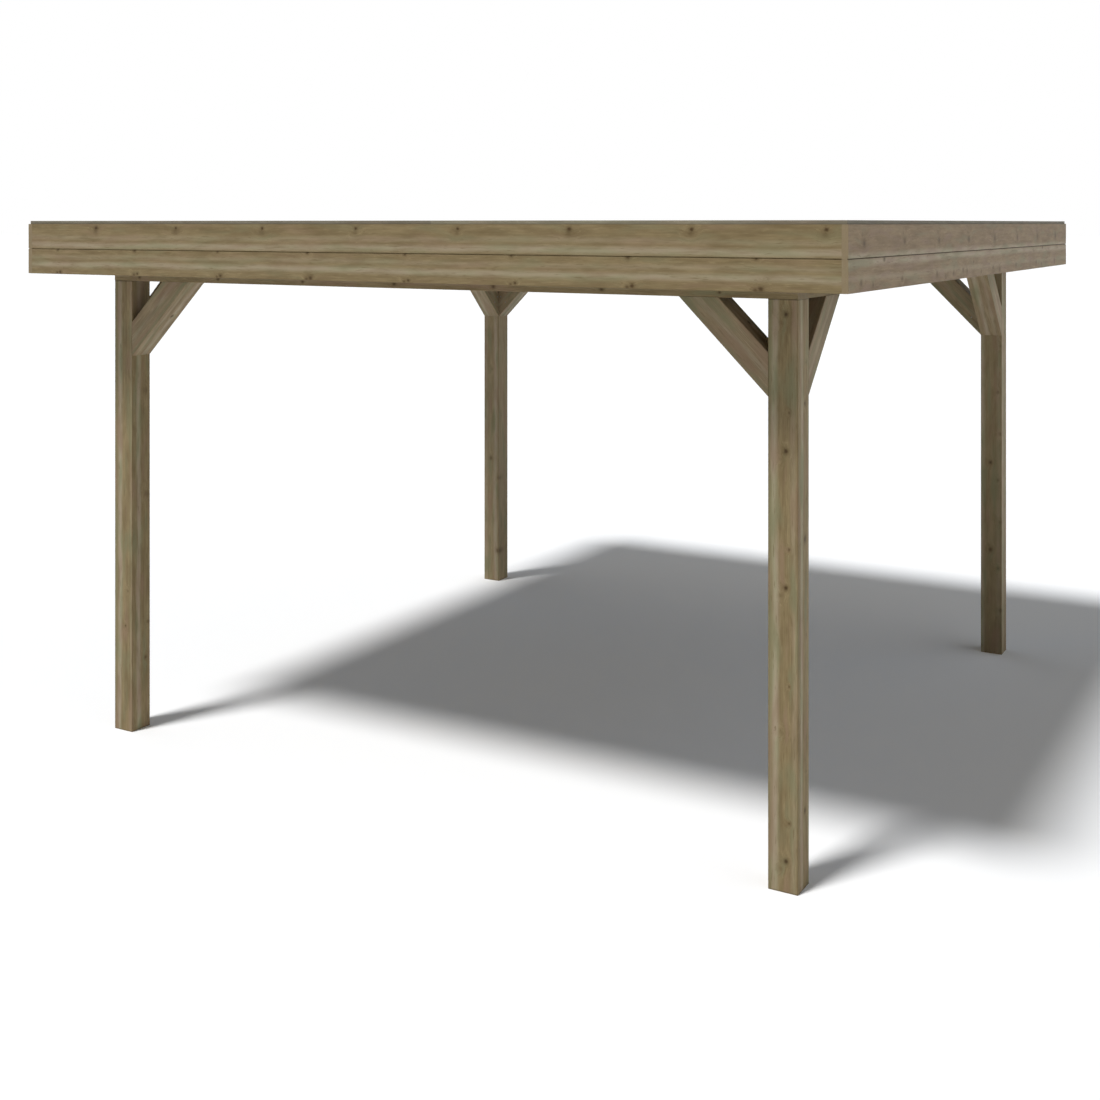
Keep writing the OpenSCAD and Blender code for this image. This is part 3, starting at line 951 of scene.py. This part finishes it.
def zinc_material():
    """Dull zinc plating: noise mottles its grey, and a finer one its roughness and bump."""
    material, tree = new_material("zinc plating")
    place = tree.nodes.new("ShaderNodeTexCoord").outputs["Object"]
    bloom = cloud(tree, place, (260.0, 260.0, 260.0), 3.0, 0.6)
    grit = cloud(tree, place, (1900.0, 1900.0, 1900.0), 2.0)
    tone = blend(tree, fade(tree, bloom, 0.40, 0.65), (0.36, 0.36, 0.35, 1), (0.22, 0.21, 0.19, 1))
    rough = fade(tree, grit, 0.2, 0.8, 0.34, 0.58)
    finish_surface(tree, tone, rough, grit, strength=0.25, depth=0.0002)
    tree.nodes["Principled BSDF"].inputs["Metallic"].default_value = 1.0
    return material


zinc = zinc_material()
ALONG_X, ALONG_Y, UP = Vector((1, 0, 0)), Vector((0, 1, 0)), Vector((0, 0, 1))

# Two screws at each end of each brace, side by side across it
brace_screws = []
for brace, (turn, tilt, lean) in brace_ways.items():
    low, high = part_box(brace)
    ahead, aside = (ALONG_Y, ALONG_X) if turn else (ALONG_X, ALONG_Y)
    inner = min(low @ aside, high @ aside, key=abs)
    facing = aside * (-1 if inner > 0 else 1)
    at_post, at_beam = (low @ ahead, high @ ahead) if lean < 0 else (high @ ahead, low @ ahead)
    rise = (UP - ahead * lean).normalized()
    across = (UP + ahead * lean).normalized()
    middle_line = BRACE_DEPTH / math.sqrt(2)
    foot = aside * inner + ahead * at_post + UP * (low.z + middle_line)
    head = aside * inner + ahead * (at_beam + lean * middle_line) + UP * high.z
    for end, way in ((foot, -rise), (head, rise)):
        brace_screws += [(end - way * END_GAP + across * step, facing, way)
                         for step in (-PAIR_GAP, PAIR_GAP)]
screw_heads("screws_braces", brace_screws)

# One screw through each side of each rafter and lookout, down into the ring beam
joist_screws = []
for rafter in rafters:
    low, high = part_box(rafter)
    for beam in ("beam_front", "beam_back"):
        y = middle(beam)[0].y
        joist_screws += [
            (Vector((low.x, y - TOE_STAGGER, low.z + TOE_RISE)), -ALONG_X, -UP),
            (Vector((high.x, y + TOE_STAGGER, low.z + TOE_RISE)), ALONG_X, -UP),
        ]
for side in ("left", "right"):
    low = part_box(f"lookouts_{side}")[0]
    x = middle(f"beam_{side}")[0].x
    for step in range(LOOKOUTS):
        y = low.y + JOIST_HALF + step * LOOKOUT_PITCH
        joist_screws += [
            (Vector((x - TOE_STAGGER, y - JOIST_HALF, low.z + TOE_RISE)), -ALONG_Y, -UP),
            (Vector((x + TOE_STAGGER, y + JOIST_HALF, low.z + TOE_RISE)), ALONG_Y, -UP),
        ]
screw_heads("screws_joists", joist_screws)

# Two screws, one above the other, into the lower and the upper fascia board in each bay
rim_screws = []
tray_low, tray_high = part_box("roof_deck")
rafter_lines = [tray_low.x, *(middle(rafter)[0].x for rafter in rafters), tray_high.x]
lookout_first = lookout_low.y + JOIST_HALF
lookout_lines = [tray_low.y, *(lookout_first + step * LOOKOUT_PITCH for step in range(LOOKOUTS)),
                 tray_high.y]
for rim in rims:
    low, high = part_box(rim)
    if high.x - low.x > high.y - low.y:
        ahead, aside, lines = ALONG_X, ALONG_Y, rafter_lines
    else:
        ahead, aside, lines = ALONG_Y, ALONG_X, lookout_lines
    inner = min(low @ aside, high @ aside, key=abs)
    facing = aside * (-1 if inner > 0 else 1)
    for start, stop in zip(lines, lines[1:]):
        seat = ahead * ((start + stop) / 2) + aside * inner
        rim_screws += [(seat + UP * (low.z + row), facing, None) for row in (LOWER_ROW, UPPER_ROW)]
screw_heads("screws_rims", rim_screws)


# -------------------------------- light and floor
# A broad soft lamp from the front and a little from the left, a pale surround that is
# brighter low down and to both sides, and a white floor that keeps the shadow of the roof
# and the posts. Inside the shadow the floor is slightly bluer under the roof's middle and
# yellower away from it, which evens out the light's colours. It is clear to a look from
# underneath, and within about a millimetre of a foot.

SUN_STRENGTH = 2.983
SUN_WAY = Vector((0.190, 0.4695, -1.0))
SUN_WIDTH = 0.20
SURROUND = 0.234
SURROUND_LEAN = (0.114, 0.078, 0.0)
SURROUND_LOW = 0.445
SURROUND_SIDES = 0.542
FLOOR_HALF = 250.0
SURROUND_TONE = (0.872, 0.927, 1.0, 1)
CONTACT = 0.0012
FLOOR_TONE = (0.955, 0.955, 0.955, 1)
INNER_TONE = (0.926, 0.952, 0.984, 1)
OUTER_TONE = (0.969, 0.945, 0.906, 1)
INNER_REACH, OUTER_REACH = 0.7, 2.9
SHADE_MIDDLE = (0.46, 1.136)
SHADE_HALF = (1.78, 2.14)

lamp = bpy.data.lights.new("soft lamp", "SUN")
lamp.energy = SUN_STRENGTH
lamp.angle = SUN_WIDTH
lamp_object = bpy.data.objects.new("soft_lamp", lamp)
lamp_object.rotation_euler = SUN_WAY.to_track_quat("-Z", "Y").to_euler()
bpy.context.scene.collection.objects.link(lamp_object)

world = bpy.data.worlds.new("pale surround")
bpy.context.scene.world = world
world.use_nodes = True
air = world.node_tree
ray = air.nodes.new("ShaderNodeLightPath").outputs
seen = calc(air, "MAXIMUM", ray["Is Camera Ray"], ray["Is Glossy Ray"])
seen = calc(air, "MAXIMUM", seen, ray["Is Transmission Ray"])
way = air.nodes.new("ShaderNodeTexCoord").outputs["Generated"]
east, north, rise = split(air, way)
low = calc(air, "MAXIMUM", calc(air, "MULTIPLY_ADD", rise, -2.0, 1.0), 0.0)
glow = calc(air, "ADD", vector_calc(air, "DOT_PRODUCT", way, SURROUND_LEAN), SURROUND)
glow = calc(air, "MULTIPLY_ADD", low, SURROUND_LOW, glow)
sides = calc(air, "SUBTRACT", calc(air, "MULTIPLY", east, east),
             calc(air, "MULTIPLY", north, north))
glow = calc(air, "MAXIMUM", calc(air, "MULTIPLY_ADD", sides, SURROUND_SIDES, glow), 0.0)
plug(air, air.nodes["Background"].inputs, (blend(air, seen, SURROUND_TONE, (1, 1, 1, 1)),
                                           blend(air, seen, glow, 1.0, kind="FLOAT")))

floor_material, tree = new_material("white floor")
shader = tree.nodes["Principled BSDF"]
spot = split(tree, tree.nodes.new("ShaderNodeTexCoord").outputs["Object"])


def square_distance(middle_x, middle_y):
    """How far a point of the floor is from a middle, measured in squares."""
    parts = [calc(tree, "ABSOLUTE", calc(tree, "SUBTRACT", value, middle_line))
             for value, middle_line in zip(spot, (middle_x, middle_y))]
    return calc(tree, "MAXIMUM", *parts)


outward = fade(tree, square_distance(0.0, 0.0), INNER_REACH, OUTER_REACH)
shaded = fade(tree, square_distance(*SHADE_MIDDLE), *SHADE_HALF, 1.0, 0.0)
tone = blend(tree, outward, INNER_TONE, OUTER_TONE)
plug(tree, [shader.inputs["Base Color"]], [blend(tree, shaded, FLOOR_TONE, tone)])
shader.inputs["Roughness"].default_value = 1.0
shader.inputs["Specular IOR Level"].default_value = 0.0
under = tree.nodes.new("ShaderNodeBsdfTransparent")
side = tree.nodes.new("ShaderNodeMixShader")
behind = tree.nodes.new("ShaderNodeNewGeometry").outputs["Backfacing"]
near = calc(tree, "LESS_THAN", tree.nodes.new("ShaderNodeLightPath").outputs["Ray Length"], CONTACT)
plug(tree, side.inputs, (calc(tree, "MAXIMUM", behind, near), shader.outputs[0], under.outputs[0]))
tree.links.new(side.outputs[0], tree.nodes["Material Output"].inputs["Surface"])

corners = [(x * FLOOR_HALF, y * FLOOR_HALF, -0.0005)
           for x, y in ((-1, -1), (1, -1), (1, 1), (-1, 1))]
floor = new_piece("floor", corners, [(0, 1, 2, 3)])
floor.data.materials.append(floor_material)


# -------------------------------- camera
# At standing height beyond the front right corner, level, with the frame shifted down
# so that the posts stay upright.

camera = bpy.data.cameras.new("camera")
camera.lens = 46.636
camera.sensor_width = 36.0
camera.shift_y = -0.2974
camera.clip_start, camera.clip_end = 0.1, 1000.0
camera_object = bpy.data.objects.new("camera", camera)
camera_object.location = (3.6447, -6.8905, 2.5284)
camera_object.rotation_euler = (math.radians(90), 0, math.radians(29.807))
bpy.context.scene.collection.objects.link(camera_object)
bpy.context.scene.camera = camera_object
bpy.context.scene.view_settings.view_transform = "Standard"
